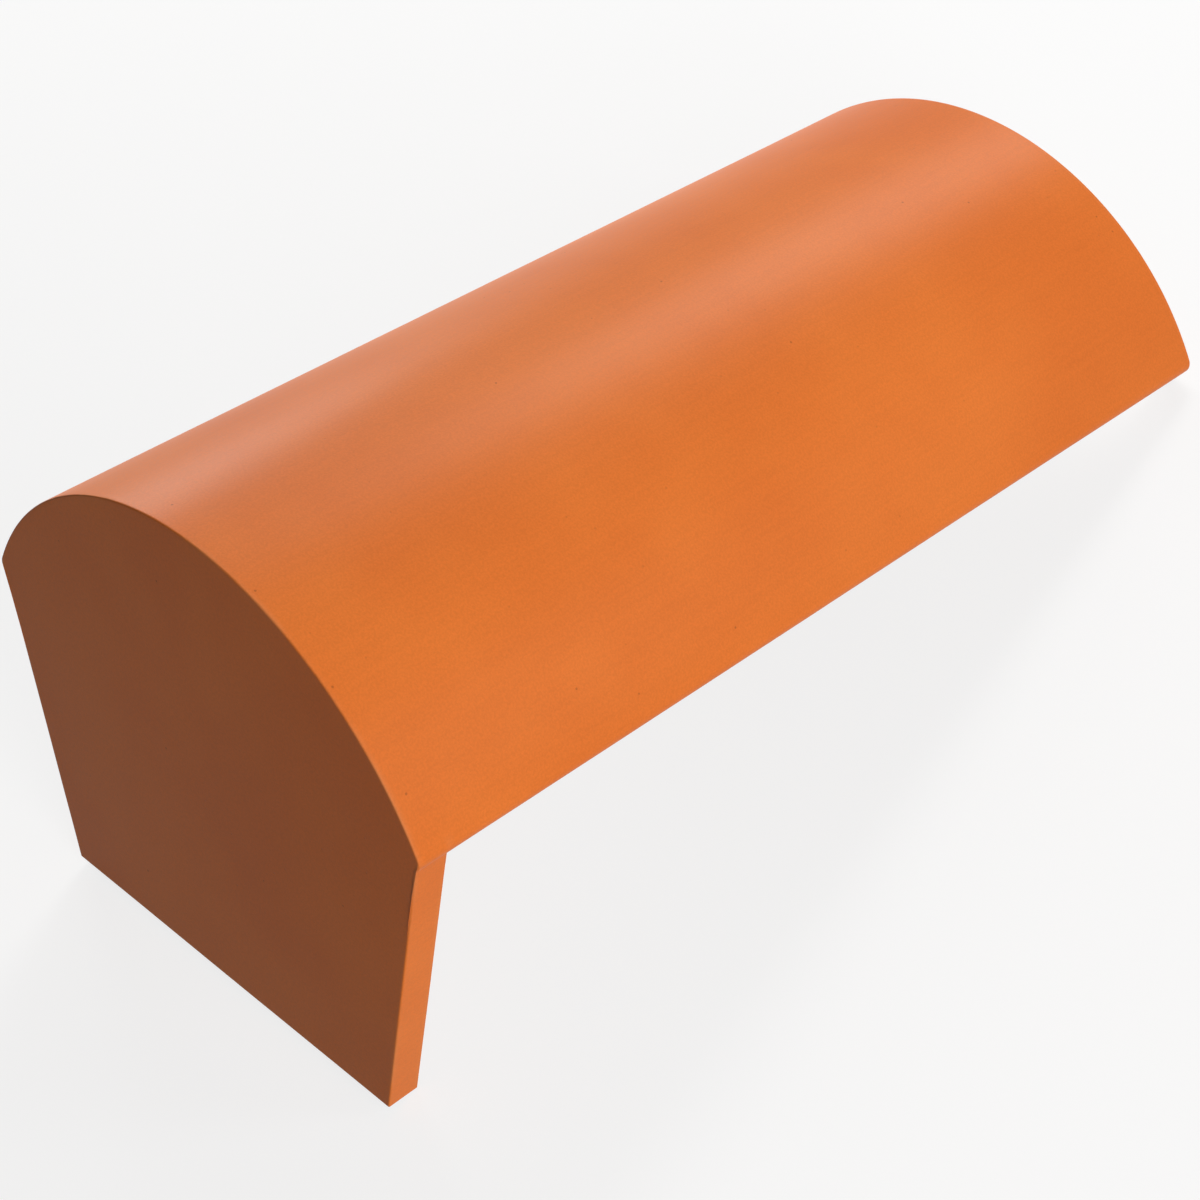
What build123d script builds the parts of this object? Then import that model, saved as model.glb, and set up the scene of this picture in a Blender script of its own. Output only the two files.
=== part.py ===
from build123d import *
import os
from math import asin, atan2, cos, degrees, radians, sin

# Segmental ridge tile with a block end, in fired clay, made as one piece.
#
# A segment of a round arch covers the ridge of a roof. A flat plate, the block end,
# closes one end of the arch and hangs below it, so that it also closes the gable.
#
# The tile's own directions are along (from the block end towards the open end),
# across (the arch's width) and up (from the block end's foot to the crown).
# Lengths are in millimetres and angles in degrees.

# Driving dimensions of the arch
length = 457.0  # block end's outer face to the open end, 18 inches
width = 250.0  # across the two rounded long rims
crown_radius = 140.0  # outside of the arch
wall = 15.0  # thickness of the arch
rim_radius = 5.5  # rounded outer corner of each long rim

# Driving dimensions of the block end
height = 220.0  # foot of the block end to the crown
foot_width = 198.0  # straight bottom edge
block_end_thickness = 15.0
cove_radius = 8.0  # clay worked into the inside corner under the arch
cove_stop = 4.0  # how far above the rims the cove ends

# Softened edges, left by the die, the cutting wire and the maker's sponge
arris_radius = 0.8

# The arch's section, seen from the block end with its foot at zero
soffit_radius = crown_radius - wall
arch_centre_up = height - crown_radius
rim_centre_radius = crown_radius - rim_radius
rim_centre_across = width / 2 - rim_radius
# angles from the crown to where the rim's rounding starts and to the rim's flat face
rounding_angle = degrees(asin(rim_centre_across / rim_centre_radius))
rim_angle = rounding_angle + degrees(asin(rim_radius / rim_centre_radius))

# Unheld, the tile tips forward off the flat of its foot and comes to rest on two
# softened edges: the foot's inner edge, and the two inner corners of the open end.
# Each edge is a small circle seen from the side, given here by its centre.
foot_edge_along = block_end_thickness - arris_radius
foot_edge_up = arris_radius
corner_radius = soffit_radius + arris_radius
corner_angle = rim_angle - degrees(asin(arris_radius / corner_radius))
corner_along = length - arris_radius
corner_up = arch_centre_up + corner_radius * cos(radians(corner_angle))
# Both circles touch the floor when the tile is pitched by the slope between them.
pitch = degrees(atan2(corner_up - foot_edge_up, corner_along - foot_edge_along))
slope_sin = sin(radians(pitch))
slope_cos = cos(radians(pitch))

# The block end's outer face, pitched, with the middle of its foot as origin. The
# row's origin is on the floor, under the middle of the resting tile.
foot_above_floor = arris_radius + foot_edge_along * slope_sin - foot_edge_up * slope_cos
nearest = arris_radius * (slope_cos + slope_sin - 1)
furthest = corner_along * slope_cos + (height - arris_radius) * slope_sin + arris_radius
block_end_face = Plane(
    origin=(0, -(nearest + furthest) / 2, foot_above_floor),
    x_dir=(1, 0, 0),
    z_dir=(0, -slope_cos, slope_sin),
)

along = Axis(block_end_face.origin, -block_end_face.z_dir)
up = Axis(block_end_face.origin, block_end_face.y_dir)

# The axis of the arch, and the half plane through it where the cove starts
arch_axis = Axis(block_end_face.from_local_coords((0, arch_centre_up, 0)), along.direction)
cove_angle = rim_angle - degrees(cove_stop / soffit_radius)
towards_cove = up.direction.rotate(arch_axis, -cove_angle)
cove_start = Plane(
    origin=arch_axis.position,
    x_dir=arch_axis.direction,
    z_dir=arch_axis.direction.cross(towards_cove),
)


def on_arch(radius, angle):
    """Point of the section at a radius from the arch's centre and an angle from the crown."""
    return (radius * sin(radians(angle)), arch_centre_up + radius * cos(radians(angle)))


def over_crown(radius, angle):
    """Arc about the arch's centre, from an angle on one side of the crown to the other side."""
    return CenterArc((0, arch_centre_up), radius, 90 - angle, 2 * angle)


with BuildPart() as ridge_tile:
    # The arch: a sector of a ring, its long rims cut square and rounded outside.
    with BuildSketch(block_end_face) as arch_section:
        with BuildLine():
            over_crown(crown_radius, rim_angle)
            over_crown(soffit_radius, rim_angle)
            Line(on_arch(crown_radius, rim_angle), on_arch(soffit_radius, rim_angle))
            Line(on_arch(crown_radius, -rim_angle), on_arch(soffit_radius, -rim_angle))
        make_face()
        outer_corners = arch_section.vertices().sort_by(Axis.X)
        fillet([outer_corners[0], outer_corners[-1]], rim_radius)
    extrude(amount=-length)

    # The block end: under the same crown line, its sides run from where the rims
    # start to round down to the ends of a narrower foot.
    with BuildSketch(block_end_face) as block_end_section:
        with BuildLine():
            over_crown(crown_radius, rounding_angle)
            Line(on_arch(crown_radius, rounding_angle), (foot_width / 2, 0))
            Line((foot_width / 2, 0), (-foot_width / 2, 0))
            Line((-foot_width / 2, 0), on_arch(crown_radius, -rounding_angle))
        make_face()
    extrude(amount=-block_end_thickness)

    # The arrises of the arch: the open end all round with the rims' inner edges, which
    # run into it. From the lowest up, the edges are the foot's, the sides' and the rims'.
    foot_edges, side_edges, rim_edges = ridge_tile.edges().group_by(up)[:3]
    open_end_edges = ridge_tile.faces().sort_by(along)[-1].edges()
    fillet([open_end_edges, rim_edges], arris_radius)

    # The arrises of the block end: its outer face all round, its foot and its sides
    outer_face_edges = ridge_tile.faces().sort_by(along)[0].edges()
    fillet([outer_face_edges, foot_edges, side_edges], arris_radius)

    # The cove: clay that fills the corner between the soffit and the block end, a
    # hollow quarter round carried about the arch's axis from one side to the other.
    with BuildSketch(cove_start) as cove_section:
        with BuildLine():
            corner = (block_end_thickness, soffit_radius)
            on_block_end = (block_end_thickness, soffit_radius - cove_radius)
            on_soffit = (block_end_thickness + cove_radius, soffit_radius)
            Line(corner, on_block_end)
            RadiusArc(on_block_end, on_soffit, cove_radius)
            Line(on_soffit, corner)
        make_face()
    revolve(axis=arch_axis, revolution_arc=2 * cove_angle)

ridge_tile.part.label = "ridge_tile"
os.makedirs("parts", exist_ok=True)
export_step(ridge_tile.part, "parts/ridge_tile.step")
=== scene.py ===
from math import asin, atan2, cos, pi, radians, sin, sqrt

import bmesh
import bpy
import numpy as np
from bpy.props import FloatProperty, FloatVectorProperty, PointerProperty
from bpy.types import Operator, Panel, PropertyGroup, Scene
from mathutils import Matrix, Vector


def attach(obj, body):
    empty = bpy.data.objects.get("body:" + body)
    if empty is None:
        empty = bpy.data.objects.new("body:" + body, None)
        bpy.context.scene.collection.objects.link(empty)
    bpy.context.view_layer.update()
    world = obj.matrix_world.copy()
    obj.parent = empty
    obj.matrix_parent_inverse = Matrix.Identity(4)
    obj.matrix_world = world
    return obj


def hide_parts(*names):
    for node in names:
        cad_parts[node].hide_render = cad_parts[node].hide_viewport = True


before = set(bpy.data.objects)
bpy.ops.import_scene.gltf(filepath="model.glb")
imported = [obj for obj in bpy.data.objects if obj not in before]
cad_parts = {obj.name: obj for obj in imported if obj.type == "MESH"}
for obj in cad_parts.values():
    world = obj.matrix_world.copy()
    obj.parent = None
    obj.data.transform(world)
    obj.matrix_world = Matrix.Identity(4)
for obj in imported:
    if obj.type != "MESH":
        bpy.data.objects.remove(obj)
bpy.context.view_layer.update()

bl_info = {
    "name": "Segmental Ridge Tile",
    "version": (1, 0, 0),
    "blender": (4, 5, 0),
    "location": "3D View > Sidebar > Ridge Tile",
    "description": "A segmental ridge tile with a block end, in fired clay, on a studio floor",
    "category": "Object",
}

MM = 0.001
QUARTER = pi / 2

# How many steps each stretch of the surface is divided into. The counts round the section
# pair up where a flat face is filled between two of its edges: CROWN + ROUNDING is
# SIDE + FOOT_CORNER + FOOT and also UNDERCUT + RIM_FLAT + RIM_CORNER + SOFFIT.
CROWN, ROUNDING, ARRIS, UNDERCUT, RIM_FLAT, RIM_CORNER, SOFFIT = 96, 12, 4, 2, 5, 3, 98
SIDE, FOOT_CORNER, FOOT = 50, 4, 54
ALONG, THROUGH, FACE, WALL, COVE = 110, 5, 44, 6, 8

# How much of a stretch's spacing is even; the rest is closer near the ends.
EVEN = 0.4

# The cove is whole up to the first of these angles from straight up and gone at the second.
COVE_WHOLE, COVE_GONE = radians(60.0), radians(64.2)

# The relief of the clay: how deep each kind is, how far apart its waves are, and a seed
HAND_SAG = 0.12 * MM, 60 * MM, 1
PRESS_MARKS = 0.03 * MM, 17 * MM, 2
DRAG_LINES = 0.16 * MM, 4.5 * MM, 3
THUMB_MARKS = 0.10 * MM, 9 * MM, 4
# Squeezes the length where the drag lines are drawn, so they are fifty times as long
# as they are apart.
DRAG_SQUEEZE = 0.02

# Large odd numbers that stir whole numbers into random ones
LATTICE_FACTORS = 73856093, 19349663, 83492791
SEED_FACTOR, STIR_FACTOR = 2654435761, 1274126177

# How far from an arris the clay is rubbed
RUB_REACH = 1.2 * MM

# Dense clay has an index of 1.5, but air fills much of this one's face.
CLAY_IOR = 1.16
# How strong each finer step of a pattern is beside the one before
FINER = 0.6

# Surfaces that meet at less than this angle are shaded as one.
SMOOTH_ANGLE = radians(38)
# Points nearer than this are one point.
SAME_PLACE = 0.002 * MM


def linear(colour):
    """Linear colour with alpha, from an sRGB hex value."""
    channels = [int(colour[i : i + 2], 16) / 255 for i in (1, 3, 5)]
    return (*(c / 12.92 if c <= 0.04045 else ((c + 0.055) / 1.055) ** 2.4 for c in channels), 1.0)


def size_property(name, description, millimetres):
    """A length that the user may change, given in millimetres."""
    return FloatProperty(
        name=name,
        description=description,
        default=millimetres * MM,
        min=0.0,
        unit="LENGTH",
        precision=4,
    )


def colour_property(name, description, colour):
    """A colour that the user may change, given as an sRGB hex value."""
    return FloatVectorProperty(
        name=name,
        description=description,
        default=linear(colour),
        size=4,
        min=0.0,
        max=1.0,
        subtype="COLOR",
    )


def share_property(name, description, share):
    """A share from 0 to 1 that the user may change."""
    return FloatProperty(
        name=name, description=description, default=share, min=0.0, max=1.0, subtype="FACTOR"
    )


class TileSizes(PropertyGroup):
    length: size_property("Length", "Outer face of the block end to the open end", 457)
    width: size_property("Width", "Across the two rounded rims", 250)
    crown_radius: size_property("Crown radius", "Outside of the arch", 140)
    wall: size_property("Wall", "Thickness of the arch", 15)
    rim_radius: size_property("Rim radius", "Rounded outer corner of each long rim", 5.5)
    height: size_property("Height", "Foot of the block end to the crown", 220)
    foot_width: size_property("Foot width", "Straight bottom edge of the block end", 198)
    block_end: size_property("Block end", "Thickness of the plate that closes one end", 15)
    cove: size_property("Cove", "Hollow worked into the corner under the arch", 8)
    arris: size_property("Arris", "Radius of the softened edges", 0.8)


class FiredClay(PropertyGroup):
    body: colour_property("Body", "The clay where it is evenly fired", "#e37a35")
    hot: colour_property("Hot side", "The clay where the kiln was hotter", "#dc7230")
    dust: colour_property("Dust", "Rubbed edges and the sand left on the underside", "#e0a070")
    iron: colour_property("Iron", "Specks of iron that fired dark", "#7c3a1c")
    sheen: colour_property("Sheen", "Tint that light takes on in the pores", "#fff0dd")
    roughness: share_property("Roughness", "How far the pressed face scatters a reflection", 0.38)


class Studio(PropertyGroup):
    floor: colour_property("Floor", "The floor where it is lit by the lamps", "#fbfaf8")
    bounce: colour_property("Bounce", "The floor as it lights the tile from below", "#6c6c6c")
    shadow: share_property("Shadow", "Share of the floor's light that the lamps give", 0.22)
    sky: share_property("Sky", "Even light from all round", 0.03)
    lamps: FloatProperty(
        name="Lamps", description="Multiplies the power of every lamp", default=1.0, min=0.0
    )


def direction(angle):
    """Unit vectors in the section, at angles from straight up, turning towards the right."""
    return np.stack([np.sin(angle), np.cos(angle)], -1)


def join(*runs):
    """Runs end to end, each after the first without its first point, which the last one has."""
    return np.concatenate([runs[0]] + [run[1:] for run in runs[1:]])


def steps(start, stop, count):
    """Equal steps from start to stop, both ends included."""
    return np.linspace(start, stop, count + 1)


def closer_at_ends(part):
    """Parts from 0 to 1, closer near both ends: a straight line mixed with half a cosine."""
    return EVEN * part + (1 - EVEN) / 2 * (1 - np.cos(pi * part))


def placed(section, along):
    """Points across, along and up, from points of the section and their places along the tile."""
    section, along = np.broadcast_arrays(section, np.asarray(along, float)[..., None])
    return np.stack([section[..., 0], along[..., 0], section[..., 1]], -1)


def filled(loop, rows):
    """A flat face inside half a loop: straight rows from its first half to its second, run back."""
    half = len(loop) // 2
    part = steps(0, 1, rows)[:, None, None]
    return loop[: half + 1] * (1 - part) + loop[half:][::-1] * part


def rim_angles(sizes):
    """Angles from straight up: where the rim's rounding starts, where the flat under it
    lies, and the way to its inner corner's centre. Each turn has for its sine a distance
    across over a distance from the arch's centre."""
    rim_reach = sizes.crown_radius - sizes.rim_radius
    corner_reach = sizes.crown_radius - sizes.wall + sizes.arris
    round_from = asin((sizes.width / 2 - sizes.rim_radius) / rim_reach)
    flat_lies = round_from + asin(sizes.rim_radius / rim_reach)
    return round_from, flat_lies, flat_lies - asin(sizes.arris / corner_reach)


def half_tile(sizes):
    """The right half of the tile's surface, as grids of points across, along and up.

    Each grid is a function of two parameters: how far round the section, and how far
    along the tile, round an arris or across a flat face. The section is made of arcs
    (a centre, and a radius in every direction between two angles) and straight runs.
    An arris is that section set in by r(1 - cos w) and moved along by r sin w, with r
    the arris radius, as w goes from nothing to a quarter turn.
    """
    radius, rim, arris = sizes.crown_radius, sizes.rim_radius, sizes.arris
    soffit = radius - sizes.wall
    back = sizes.block_end
    centre = np.array([0.0, sizes.height - radius])

    # The rounded rim, the flat under it and its inner corner
    round_from, flat_lies, corner_angle = rim_angles(sizes)
    flat_faces = flat_lies + QUARTER
    rim_centre = centre + (radius - rim) * direction(round_from)
    corner_centre = centre + (soffit + arris) * direction(corner_angle)
    flat_ends = [sqrt((radius - rim) ** 2 - rim**2), sqrt((soffit + arris) ** 2 - arris**2)]

    # The block end's side: the way it faces, and the centre of its foot's corner
    top = centre + radius * direction(round_from)
    foot = np.array([sizes.foot_width / 2, 0.0])
    side_faces = atan2(top[1] - foot[1], foot[0] - top[0])
    facing = direction(side_faces)
    foot_centre = np.array([(top @ facing - arris - arris * facing[1]) / facing[0], arris])

    def crossing(inset, radius_there):
        """The way from the rim's centre to where its circle meets the side set in."""
        reach = (rim * cos(side_faces - round_from) - inset) / radius_there
        return side_faces + np.arccos(reach)

    turn = steps(0, QUARTER, ARRIS)
    insets = arris * (1 - np.cos(turn))
    on_crown = steps(0, round_from, CROWN)
    on_rounding = steps(round_from, crossing(0, rim), ROUNDING)
    on_crossing = crossing(insets, rim)
    on_undercut = steps(on_crossing[-1], flat_faces, UNDERCUT)
    on_corner = steps(flat_faces, corner_angle + pi, RIM_CORNER)
    on_soffit = steps(corner_angle, 0, SOFFIT)
    ring = join(
        centre + radius * direction(on_crown),
        rim_centre + rim * direction(on_rounding),
        rim_centre + rim * direction(on_crossing),
        rim_centre + rim * direction(on_undercut),
        centre + steps(*flat_ends, RIM_FLAT)[:, None] * direction(flat_lies),
        corner_centre + arris * direction(on_corner),
        centre + soffit * direction(on_soffit),
    )
    facing_out = join(
        direction(on_crown),
        direction(on_rounding),
        direction(on_crossing),
        direction(on_undercut),
        np.tile(direction(flat_faces), (RIM_FLAT + 1, 1)),
        direction(on_corner),
        -direction(on_soffit),
    )

    # The cove fades out just above the rims.
    fade = np.clip((COVE_GONE - on_soffit) / (COVE_GONE - COVE_WHOLE), 0, 1)
    cove = sizes.cove * fade * fade * (3 - 2 * fade)
    start = join(
        np.full(CROWN + ROUNDING + 1, back - arris),
        back - arris + arris * np.sin(turn),
        np.full(UNDERCUT + RIM_FLAT + RIM_CORNER + 1, back),
        back + cove,
    )

    def lower_edge(inset, rim_inset):
        """The block end's side, foot corner and foot, set in, and where the rim's circle,
        which may be set in too, meets the side."""
        last = crossing(inset, rim - rim_inset)
        on_foot_corner = steps(side_faces, pi, FOOT_CORNER)
        corner = foot_centre + (arris - inset) * direction(on_foot_corner)
        rim_end = rim_centre + (rim - rim_inset) * direction(last)
        side = steps(rim_end, corner[0], SIDE)
        return join(side, corner, steps(corner[-1], (0.0, inset), FOOT)), last

    def outline(inset):
        """The right half of the block end's outline, set in."""
        run, last = lower_edge(inset, inset)
        crown = centre + (radius - inset) * direction(on_crown)
        rounding = rim_centre + (rim - inset) * direction(steps(round_from, last, ROUNDING))
        return join(crown, rounding, run)

    lengthways = closer_at_ends(steps(0, 1, ALONG))[:, None]
    through = (arris + (back - 2 * arris) * closer_at_ends(steps(0, 1, THROUGH)))[:, None]
    open_arris = placed(
        ring - insets[:, None, None] * facing_out,
        (sizes.length - arris + arris * np.sin(turn))[:, None],
    )
    rounds = list(zip(insets, arris * (1 - np.sin(turn))))
    front_arris = np.stack([placed(outline(inset), left) for inset, left in rounds])
    back_arris = np.stack([placed(lower_edge(inset, 0)[0], back - left) for inset, left in rounds])
    bend = steps(0, QUARTER, COVE)[:, None]
    cove_grid = placed(
        centre + (soffit - cove * (1 - np.cos(bend)))[..., None] * direction(on_soffit),
        back + cove * (1 - np.sin(bend)),
    )
    undercut = CROWN + ROUNDING + ARRIS
    under_rim = ring[undercut : undercut + UNDERCUT + RIM_FLAT + RIM_CORNER + 1]
    back_loop = join(cove_grid[-1][::-1], placed(under_rim, back)[::-1], back_arris[-1])
    return [
        placed(ring, start + lengthways * (sizes.length - arris - start)),
        open_arris,
        filled(open_arris[-1], WALL),
        placed(ring[: CROWN + ROUNDING + 1], through),
        placed(lower_edge(0, 0)[0], through),
        front_arris,
        filled(front_arris[-1], FACE),
        back_arris,
        cove_grid,
        filled(back_loop, FACE),
    ]


def resting(sizes):
    """How the tile comes to rest: on its foot's inner edge and the open end's inner corners.

    Returns its pitch and the block end's foot in the row's frame, from the same circles
    as the part's source: each edge is a circle, and both touch the floor.
    """
    arris, soffit = sizes.arris, sizes.crown_radius - sizes.wall
    above_centre = (soffit + arris) * cos(rim_angles(sizes)[2])
    corner_up = sizes.height - sizes.crown_radius + above_centre
    edge_along = sizes.block_end - arris
    corner_along = sizes.length - arris
    pitch = atan2(corner_up - arris, corner_along - edge_along)
    foot_up = arris + edge_along * sin(pitch) - arris * cos(pitch)
    # how far the two ends reach from the foot, with the row's middle halfway
    nearest = arris * (cos(pitch) + sin(pitch) - 1)
    furthest = corner_along * cos(pitch) + (sizes.height - arris) * sin(pitch) + arris
    return pitch, (0.0, -(nearest + furthest) / 2, foot_up)


def cloud(points, size, seed):
    """Smooth noise from 0 to 1: values on a lattice of that size, blended between its points.

    The value at a lattice point is its three whole numbers, each times a large factor,
    added up with the seed and stirred twice. Between points the shares ease in and out.
    """
    place = points / size
    cell = np.floor(place).astype(np.int64)
    part = place - cell
    part = part * part * (3 - 2 * part)
    total = np.zeros(len(points))
    for corner in np.ndindex(2, 2, 2):
        mixed = ((cell + corner) * LATTICE_FACTORS).sum(1) + seed * SEED_FACTOR
        mixed = (mixed ^ (mixed >> 13)) * STIR_FACTOR & 0xFFFFFFFF
        value = ((mixed ^ (mixed >> 16)) & 0xFFFF) / 0xFFFF
        total += value * np.where(corner, part, 1 - part).prod(1)
    return total


def underside(points, sizes):
    """1 for the soffit and the back of the block end, 0 for every other face."""
    across, along, up = points.T
    from_centre = np.hypot(across, up - (sizes.height - sizes.crown_radius))
    soffit = sizes.crown_radius - sizes.wall
    # the back of the block end reaches further out than the soffit, at its foot's corners
    on_back = along < sizes.block_end + sizes.arris / 2
    reach = soffit + np.where(on_back, sizes.wall / 2, sizes.arris / 2)
    return ((from_centre < reach) & (along > sizes.block_end - sizes.arris / 2)).astype(float)


def rubbed(points, sizes):
    """1 on an arris, falling to 0 a little way from it.

    Where two faces meet, the distance to their edge is the larger of the distances to
    the two faces. The smallest of these over all the edges counts.
    """
    across, along, up = np.abs(points.T)
    centre_up = sizes.height - sizes.crown_radius
    round_from, flat_lies, _ = rim_angles(sizes)
    top = np.array([0.0, centre_up]) + sizes.crown_radius * direction(round_from)
    facing = direction(atan2(top[1], sizes.foot_width / 2 - top[0]))
    flat_faces = direction(flat_lies + QUARTER)
    from_centre = np.hypot(across, up - centre_up)
    crown = sizes.crown_radius - from_centre
    soffit = np.abs(from_centre - (sizes.crown_radius - sizes.wall))
    side = np.abs(top @ facing - across * facing[0] - up * facing[1])
    flat = np.abs(across * flat_faces[0] + (up - centre_up) * flat_faces[1])
    open_end = sizes.length - along
    lower = np.minimum(side, up)
    # the rim's inner corner starts behind the block end
    in_block_end = along < sizes.block_end
    edges = [
        np.maximum(along, np.minimum(crown, lower)),
        np.maximum(np.abs(sizes.block_end - along), lower),
        np.maximum(open_end, np.minimum(np.minimum(crown, soffit), flat)),
        np.maximum(flat, soffit) + in_block_end,
    ]
    return np.clip(1 - np.min(edges, 0) / RUB_REACH, 0, 1)


def relief(points, sizes):
    """How far the clay stands below its nominal surface, by place.

    The wet clay sags and is pressed by hand, a tenth of a millimetre over the width of a
    hand. The soffit and the back of the block end, which nobody sees, are rougher: the
    die drags lines along the arch, and the clay round the cove is smoothed with a thumb.
    """
    across, along, up = points.T
    girth = np.arctan2(across, up - (sizes.height - sizes.crown_radius)) * sizes.crown_radius
    unrolled = np.stack([girth, along * DRAG_SQUEEZE, np.zeros_like(girth)], -1)

    def marks(place, depth, apart, seed):
        """Waves of that depth, that far apart."""
        return depth * cloud(place, apart, seed)

    everywhere = marks(points, *HAND_SAG) + marks(points, *PRESS_MARKS)
    hidden = marks(unrolled, *DRAG_LINES) + marks(points, *THUMB_MARKS)
    return everywhere + underside(points, sizes) * hidden


def tile_mesh(sizes):
    """The closed surface: the right half's grids and their mirror image, joined, lowered by
    the relief along their normals, and pitched and moved to rest on the floor."""
    points, faces, count = [], [], 0
    for grid in half_tile(sizes):
        rows, columns = grid.shape[:2]
        index = np.arange(rows * columns).reshape(rows, columns) + count
        corners = [index[:-1, :-1], index[1:, :-1], index[1:, 1:], index[:-1, 1:]]
        faces.append(np.stack(corners, -1).reshape(-1, 4))
        points.append(grid.reshape(-1, 3))
        count += rows * columns
    points, faces = np.concatenate(points), np.concatenate(faces)
    points = np.concatenate([points, points * (-1, 1, 1)])
    faces = np.concatenate([faces, faces[:, ::-1] + count])

    mesh = bpy.data.meshes.new("ridge_tile_surface")
    mesh.from_pydata(points, [], faces)
    whole = bmesh.new()
    whole.from_mesh(mesh)
    bmesh.ops.remove_doubles(whole, verts=whole.verts, dist=SAME_PLACE)
    bmesh.ops.dissolve_degenerate(whole, edges=whole.edges, dist=SAME_PLACE)
    bmesh.ops.recalc_face_normals(whole, faces=whole.faces)
    if any(not edge.is_manifold for edge in whole.edges):
        raise RuntimeError("the tile's surface has an open seam")
    whole.to_mesh(mesh)
    whole.free()

    count = len(mesh.vertices)
    points, normals = np.empty(count * 3), np.empty(count * 3)
    mesh.vertices.foreach_get("co", points)
    mesh.vertex_normals.foreach_get("vector", normals)
    points, normals = points.reshape(-1, 3), normals.reshape(-1, 3)
    for measure in (rubbed, underside):
        values = measure(points, sizes).astype(np.float32)
        attribute = mesh.attributes.new(measure.__name__, "FLOAT", "POINT")
        attribute.data.foreach_set("value", values)
    points = points - relief(points, sizes)[:, None] * normals

    pitch, foot = resting(sizes)
    turn = np.array([[1, 0, 0], [0, cos(pitch), sin(pitch)], [0, -sin(pitch), cos(pitch)]])
    mesh.vertices.foreach_set("co", (points @ turn.T + foot).ravel())
    mesh.shade_smooth()
    mesh.set_sharp_from_angle(angle=SMOOTH_ANGLE)
    mesh.update()
    return mesh


def add_node(tree, kind, inputs=None, **settings):
    """Adds a node and returns its outputs. An input that is given a socket is linked to it,
    and one that is given anything else is set to it. Settings are the node's own."""
    node = tree.nodes.new(kind)
    for name, value in settings.items():
        setattr(node, name, value)
    for name, value in (inputs or {}).items():
        if isinstance(value, bpy.types.NodeSocket):
            tree.links.new(value, node.inputs[name])
        else:
            node.inputs[name].default_value = value
    return node.outputs


# Where a Mix node has its share and its two colours, and what it makes of them
SHARE, UNDER, OVER, MIXED = 0, 6, 7, 2


def new_material(name):
    """An empty material and its node tree."""
    material = bpy.data.materials.new(name)
    material.use_nodes = True
    material.node_tree.nodes.clear()
    return material, material.node_tree


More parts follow.
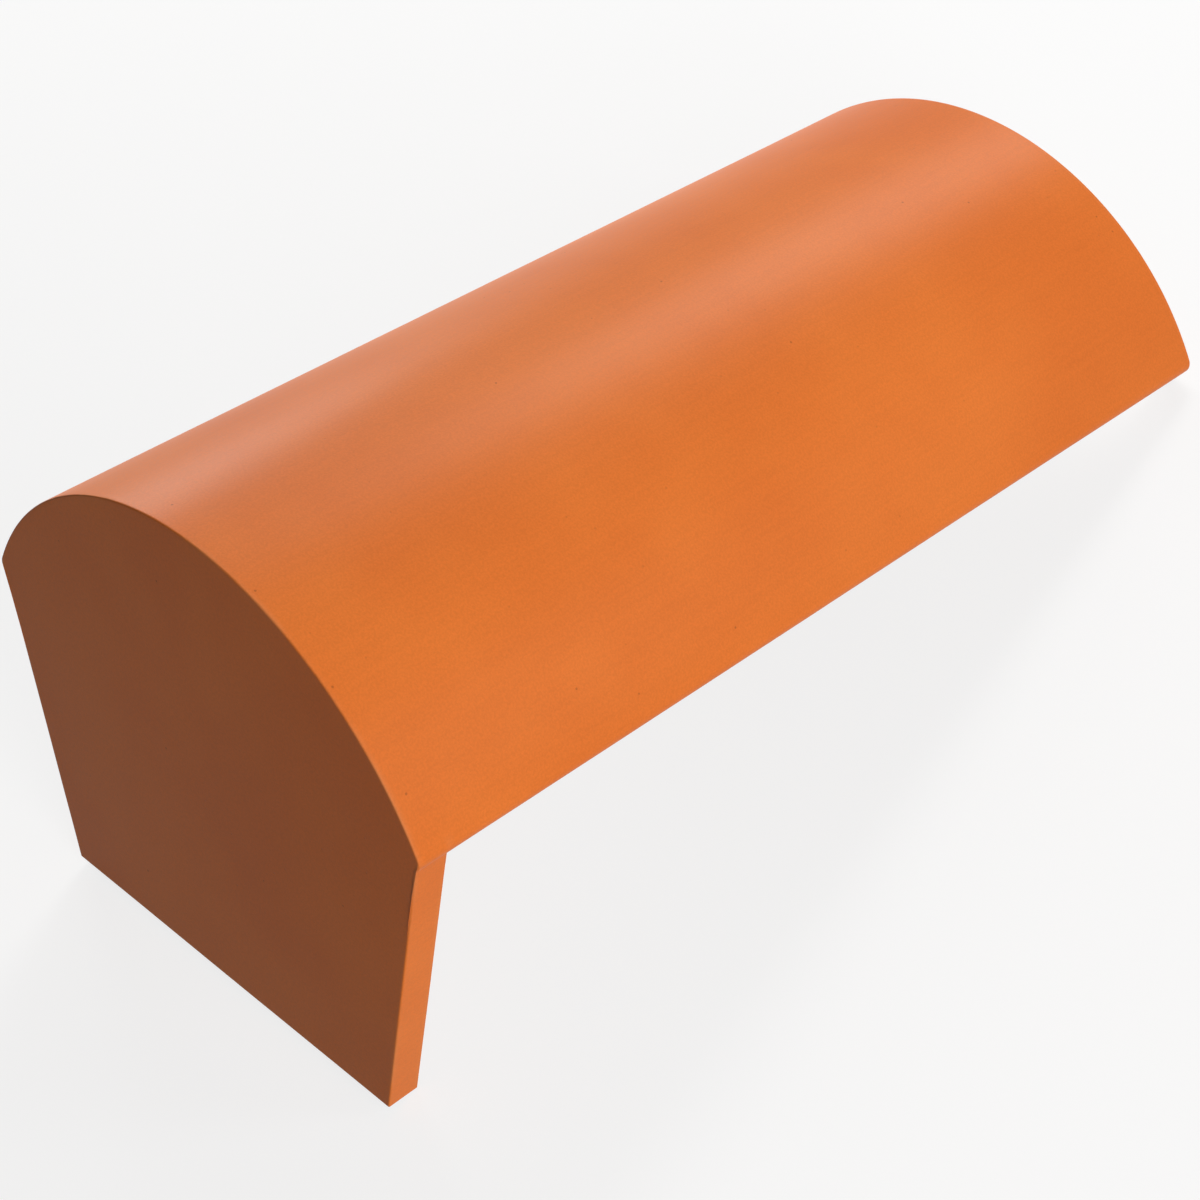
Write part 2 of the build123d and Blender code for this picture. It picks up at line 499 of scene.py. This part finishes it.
def fired_clay(clay, sizes):
    """Terracotta, pressed in a die and fired once without a glaze.

    The eye sees an even orange with a soft sheen, because the die closes the face; a grain
    of fine sand that shows in the sheen; a slow drift in colour from the kiln's heat; a few
    dark iron specks, and open pores with painted shade in them; and paler, drier clay where
    an edge is rubbed and on the underside, which was laid on sand.
    """
    material, tree = new_material("pressed_terracotta")
    place = add_node(tree, "ShaderNodeTexCoord")["Object"]
    # across, along and up the tile, so that a pattern can follow its length
    pitch = resting(sizes)[0]
    tile = add_node(tree, "ShaderNodeMapping", {"Vector": place, "Rotation": (pitch, 0, 0)})[0]
    # the die draws its lines out, to thirty times as long as they are apart
    drawn = add_node(tree, "ShaderNodeMapping", {"Vector": tile, "Scale": (1, 1 / 30, 1)})[0]

    # Patterns: the size of one, where it lies and how much finer detail it has
    patterns = {
        # the kiln's heat
        "drift": (120 * MM, tile, 3.0),
        # sand of 0.3 mm, drawn coarser because a pixel of the picture is about 0.5 mm
        "grain": (0.9 * MM, tile, 2.0),
        # the die's drag lines, 2 mm apart
        "lines": (2 * MM, drawn, 2.0),
        # places that are handled and where lime blooms
        "patches": (25 * MM, tile, 3.0),
        # the coarser sand that the underside was laid on
        "sand": (1.6 * MM, tile, 2.0),
    }
    value = {}
    for name, (size, where, detail) in patterns.items():
        inputs = {"Vector": where, "Scale": 1 / size, "Detail": detail, "Roughness": FINER}
        value[name] = add_node(tree, "ShaderNodeTexNoise", inputs)[0]
    for name in ("rubbed", "underside"):
        value[name] = add_node(tree, "ShaderNodeAttribute", attribute_name=name)["Fac"]
    # one spot of about 1 mm in each cell of 8 mm, of a kind from 0 to 1
    cells = add_node(tree, "ShaderNodeTexVoronoi", {"Vector": tile, "Scale": 1 / (8 * MM)})
    value["from_spot"] = cells["Distance"]
    value["kind"] = add_node(tree, "ShaderNodeSeparateColor", {0: cells["Color"]})[0]
    both = {0: value["patches"], 1: value["grain"]}
    value["dusting"] = add_node(tree, "ShaderNodeMath", both, operation="ADD")[0]

    # Ranges: what is read, from and to where it counts, and what it becomes there
    ranges = {
        "heat": ("drift", 0.3, 0.7, 0.0, 1.0),
        "spot": ("from_spot", 0.045, 0.08, 1.0, 0.0),
        "grain_tone": ("grain", 0.25, 0.75, 0.945, 1.05),
        "line_tone": ("lines", 0.25, 0.75, 0.985, 1.015),
        "wear": ("patches", 0.35, 0.7, 0.05, 0.4),
        "bloom": ("dusting", 0.7, 1.3, 0.1, 0.5),
        "face": ("grain", 0.3, 0.7, clay.roughness - 0.03, clay.roughness + 0.03),
    }
    for name, (source, low, high, start, stop) in ranges.items():
        limits = {"From Min": low, "From Max": high, "To Min": start, "To Max": stop}
        value[name] = add_node(
            tree,
            "ShaderNodeMapRange",
            {"Value": value[source], **limits},
            interpolation_type="SMOOTHSTEP",
        )[0]

    # Sums: the name of the result, what is done, and its two terms
    sums = (
        # one spot in eight is iron, one in five is an open pore, and the others don't show
        ("is_iron", "LESS_THAN", "kind", 0.12),
        ("iron", "MULTIPLY", "spot", "is_iron"),
        ("iron_shade", "MULTIPLY", "iron", 0.45),
        ("is_pore", "GREATER_THAN", "kind", 0.78),
        ("pore", "MULTIPLY", "spot", "is_pore"),
        # painted shade: each open pore's colour is made up to 12 % darker, for the shade that falls
        # in its pit
        ("pore_painted_shade", "MULTIPLY", "pore", 0.12),
        ("pore_painted_darkening", "SUBTRACT", 1.0, "pore_painted_shade"),
        ("pressed_tone", "MULTIPLY", "grain_tone", "line_tone"),
        # the tone holds the grain's and the drag lines' own tone, and the pores' painted shade
        ("tone", "MULTIPLY", "pressed_tone", "pore_painted_darkening"),
        # dry clay and dust are rougher than the pressed face
        ("worn", "MULTIPLY", "rubbed", "wear"),
        ("sanded", "MULTIPLY", "underside", "bloom"),
        ("dry", "MAXIMUM", "worn", "sanded"),
        ("dry_roughness", "MULTIPLY", "dry", 0.5),
        ("roughness", "ADD", "face", "dry_roughness"),
        # heights in metres
        ("grain_rise", "MULTIPLY", "grain", 0.022 * MM),
        ("line_rise", "MULTIPLY", "lines", 0.01 * MM),
        ("pore_depth", "MULTIPLY", "pore", 0.06 * MM),
        ("sand_height", "MULTIPLY", "sand", 0.25 * MM),
        ("sand_rise", "MULTIPLY", "underside", "sand_height"),
        ("pressed_rise", "ADD", "grain_rise", "line_rise"),
        ("pitted_rise", "SUBTRACT", "pressed_rise", "pore_depth"),
        ("height", "ADD", "pitted_rise", "sand_rise"),
    )
    for name, operation, *terms in sums:
        inputs = {i: value[term] if term in value else term for i, term in enumerate(terms)}
        value[name] = add_node(tree, "ShaderNodeMath", inputs, operation=operation)[0]

    fired = {SHARE: value["heat"], UNDER: clay.body, OVER: clay.hot}
    colour = add_node(tree, "ShaderNodeMix", fired, data_type="RGBA")[MIXED]
    # the colour is darkened by the tone, which includes the painted shade in the pores
    toned = {0: colour, "Scale": value["tone"]}
    colour = add_node(tree, "ShaderNodeVectorMath", toned, operation="SCALE")[0]
    for share, over in (("iron_shade", clay.iron), ("dry", clay.dust)):
        laid_over = {SHARE: value[share], UNDER: colour, OVER: over}
        colour = add_node(tree, "ShaderNodeMix", laid_over, data_type="RGBA")[MIXED]
    surface = add_node(
        tree, "ShaderNodeBump", {"Height": value["height"], "Strength": 1.0, "Distance": 1.0}
    )[0]
    shader = add_node(
        tree,
        "ShaderNodeBsdfPrincipled",
        {
            "Base Color": colour,
            "Roughness": value["roughness"],
            "Normal": surface,
            "IOR": CLAY_IOR,
            "Specular Tint": clay.sheen,
        },
    )[0]
    add_node(tree, "ShaderNodeOutputMaterial", {"Surface": shader})
    return material


class RIDGETILE_OT_add_tile(Operator):
    """Shapes the tile's surface, gives it its fired clay and puts it in the plain solid's place"""

    bl_idname = "ridgetile.add_tile"
    bl_label = "Ridge tile"

    def execute(self, context):
        scene = context.scene
        sizes = scene.ridge_tile_sizes
        tile = bpy.data.objects.new("ridge_tile_clay", tile_mesh(sizes))
        scene.collection.objects.link(tile)
        tile.data.materials.append(fired_clay(scene.ridge_tile_clay, sizes))
        # flat faces keep their own normal up to the arris
        weighted = tile.modifiers.new("flat_faces_first", "WEIGHTED_NORMAL")
        weighted.mode = "FACE_AREA"
        weighted.keep_sharp = True
        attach(tile, "root")
        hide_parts("ridge_tile")
        return {"FINISHED"}


# Softboxes: azimuth round from the block end's side towards the right and elevation, in
# degrees, width in metres, and the share of full light each gives a face turned to it.
SOFTBOXES = {
    "key": (90, 22, 1.2, 0.165),
    "key_front": (72, 12, 1.0, 0.53),
    "key_high": (80, 40, 1.2, 0.08),
    "flank_high": (128, 26, 0.6, 0.12),
    "flank": (120, 12, 0.6, 0.11),
    "left": (246, 14, 0.8, 0.23),
    "left_front": (239, 13, 0.5, 0.06),
    "left_high": (232, 28, 0.6, 0.06),
    "back_low": (194, 20, 0.5, 0.155),
    "back": (204, 28, 0.6, 0.29),
    "back_left": (220, 30, 0.8, 0.08),
    "back_high": (212, 38, 0.6, 0.11),
}
# What the softboxes stand round and face, and how far from it they stand
TILE_MIDDLE = (0, 0, 0.11)
SOFTBOX_AWAY = 2.4

# Half the floor's width
FLOOR_REACH = 12.0
# How far from the tile the floor starts to go over into the backdrop, and has done so
FLOOR_TURNS, FLOOR_WHITE = 0.6, 3.0

# The camera, in the tile's own directions, and the photograph's optical centre
CAMERA_PLACE = (0.64930, -0.43105, 0.77237)
CAMERA_LOOK = (-1, 1, -1)
CAMERA_SENSOR, CAMERA_LENS = 36.0, 79.82
CAMERA_SHIFT = (-0.00867, -0.07990)

WHITE = linear("#ffffff")


def looked_at(tree):
    """1 where the camera sees the surface, also in a reflection or through glass."""
    rays = add_node(tree, "ShaderNodeLightPath")
    seen = rays["Is Camera Ray"]
    for kind in ("Is Glossy Ray", "Is Transmission Ray"):
        seen = add_node(tree, "ShaderNodeMath", {0: seen, 1: rays[kind]}, operation="MAXIMUM")[0]
    return seen


def matt_floor(studio):
    """Matt white boards lit from below.

    Near the tile the floor takes a share of the lamps' light, and so keeps the tile's
    shadow. Further off it goes over into the white backdrop.
    """
    material, tree = new_material("matt_white_floor")
    place = add_node(tree, "ShaderNodeTexCoord")["Object"]
    away = add_node(tree, "ShaderNodeVectorMath", {0: place}, operation="LENGTH")["Value"]
    limits = {
        "From Min": FLOOR_TURNS,
        "From Max": FLOOR_WHITE,
        "To Min": 1 - studio.shadow,
        "To Max": 1.0,
    }
    glow = add_node(
        tree, "ShaderNodeMapRange", {"Value": away, **limits}, interpolation_type="SMOOTHSTEP"
    )[0]
    matt = add_node(tree, "ShaderNodeBsdfDiffuse", {"Color": studio.floor})[0]
    lit_below = add_node(tree, "ShaderNodeEmission", {"Color": WHITE, "Strength": 1.0})[0]
    seen = add_node(tree, "ShaderNodeMixShader", {0: glow, 1: matt, 2: lit_below})[0]
    unseen = add_node(tree, "ShaderNodeBsdfDiffuse", {"Color": studio.bounce})[0]
    mix = add_node(tree, "ShaderNodeMixShader", {0: looked_at(tree), 1: unseen, 2: seen})[0]
    add_node(tree, "ShaderNodeOutputMaterial", {"Surface": mix})
    return material


def studio_sky(studio):
    """White where it is seen, and a weak even light on the tile."""
    world = bpy.data.worlds.new("studio_sky")
    world.use_nodes = True
    tree = world.node_tree
    tree.nodes.clear()
    lit = add_node(tree, "ShaderNodeBackground", {"Color": WHITE, "Strength": studio.sky})[0]
    shown = add_node(tree, "ShaderNodeBackground", {"Color": WHITE, "Strength": 1.0})[0]
    mix = add_node(tree, "ShaderNodeMixShader", {0: looked_at(tree), 1: lit, 2: shown})[0]
    add_node(tree, "ShaderNodeOutputWorld", {"Surface": mix})
    return world


class RIDGETILE_OT_set_stage(Operator):
    """Lays the floor and sets the lamps and the camera"""

    bl_idname = "ridgetile.set_stage"
    bl_label = "Studio"

    def execute(self, context):
        scene = context.scene
        studio = scene.ridge_tile_studio
        mesh = bpy.data.meshes.new("studio_floor")
        square = np.array([(-1, -1, 0), (1, -1, 0), (1, 1, 0), (-1, 1, 0)])
        mesh.from_pydata(square * FLOOR_REACH, [], [(0, 1, 2, 3)])
        mesh.materials.append(matt_floor(studio))
        floor = bpy.data.objects.new("studio_floor", mesh)
        scene.collection.objects.link(floor)
        scene.world = studio_sky(studio)

        for name, (azimuth, elevation, width, share) in SOFTBOXES.items():
            lamp = bpy.data.lights.new(name, "AREA")
            lamp.shape = "DISK"
            lamp.size = width
            # a disc of this power gives a white face turned to it a radiance of its share
            lamp.energy = share * studio.lamps * (pi * SOFTBOX_AWAY) ** 2
            holder = bpy.data.objects.new(name, lamp)
            turn, rise = radians(azimuth), radians(elevation)
            away = Vector((sin(turn) * cos(rise), -cos(turn) * cos(rise), sin(rise)))
            holder.location = Vector(TILE_MIDDLE) + away * SOFTBOX_AWAY
            holder.rotation_euler = away.to_track_quat("Z", "Y").to_euler()
            scene.collection.objects.link(holder)

        camera = bpy.data.cameras.new("camera")
        camera.sensor_width, camera.lens = CAMERA_SENSOR, CAMERA_LENS
        camera.shift_x, camera.shift_y = CAMERA_SHIFT
        holder = bpy.data.objects.new("camera", camera)
        look = Vector(CAMERA_LOOK).normalized()
        right = look.cross(Vector((0, 0, 1))).normalized()
        turned = Matrix((right, right.cross(look), -look)).transposed()
        pitch, foot = resting(scene.ridge_tile_sizes)
        tile = Matrix.Translation(foot) @ Matrix.Rotation(-pitch, 4, "X")
        holder.matrix_world = tile @ Matrix.Translation(CAMERA_PLACE) @ turned.to_4x4()
        scene.collection.objects.link(holder)
        scene.camera = holder
        scene.view_settings.view_transform = "Standard"
        return {"FINISHED"}


class RIDGETILE_PT_panel(Panel):
    """Every size, colour and share, and a button for each operator"""

    bl_idname = "RIDGETILE_PT_panel"
    bl_label = "Ridge tile"
    bl_space_type = "VIEW_3D"
    bl_region_type = "UI"
    bl_category = "Ridge Tile"

    def draw(self, context):
        scene = context.scene
        for settings in (scene.ridge_tile_sizes, scene.ridge_tile_clay, scene.ridge_tile_studio):
            box = self.layout.box()
            for name in settings.__annotations__:
                box.prop(settings, name)
        self.layout.operator("ridgetile.add_tile")
        self.layout.operator("ridgetile.set_stage")


CLASSES = (
    TileSizes,
    FiredClay,
    Studio,
    RIDGETILE_OT_add_tile,
    RIDGETILE_OT_set_stage,
    RIDGETILE_PT_panel,
)


def register():
    for kind in CLASSES:
        bpy.utils.register_class(kind)
    Scene.ridge_tile_sizes = PointerProperty(type=TileSizes)
    Scene.ridge_tile_clay = PointerProperty(type=FiredClay)
    Scene.ridge_tile_studio = PointerProperty(type=Studio)


def unregister():
    del Scene.ridge_tile_sizes, Scene.ridge_tile_clay, Scene.ridge_tile_studio
    for kind in reversed(CLASSES):
        bpy.utils.unregister_class(kind)


def main():
    register()
    bpy.ops.ridgetile.add_tile()
    bpy.ops.ridgetile.set_stage()


if __name__ == "__main__":
    main()
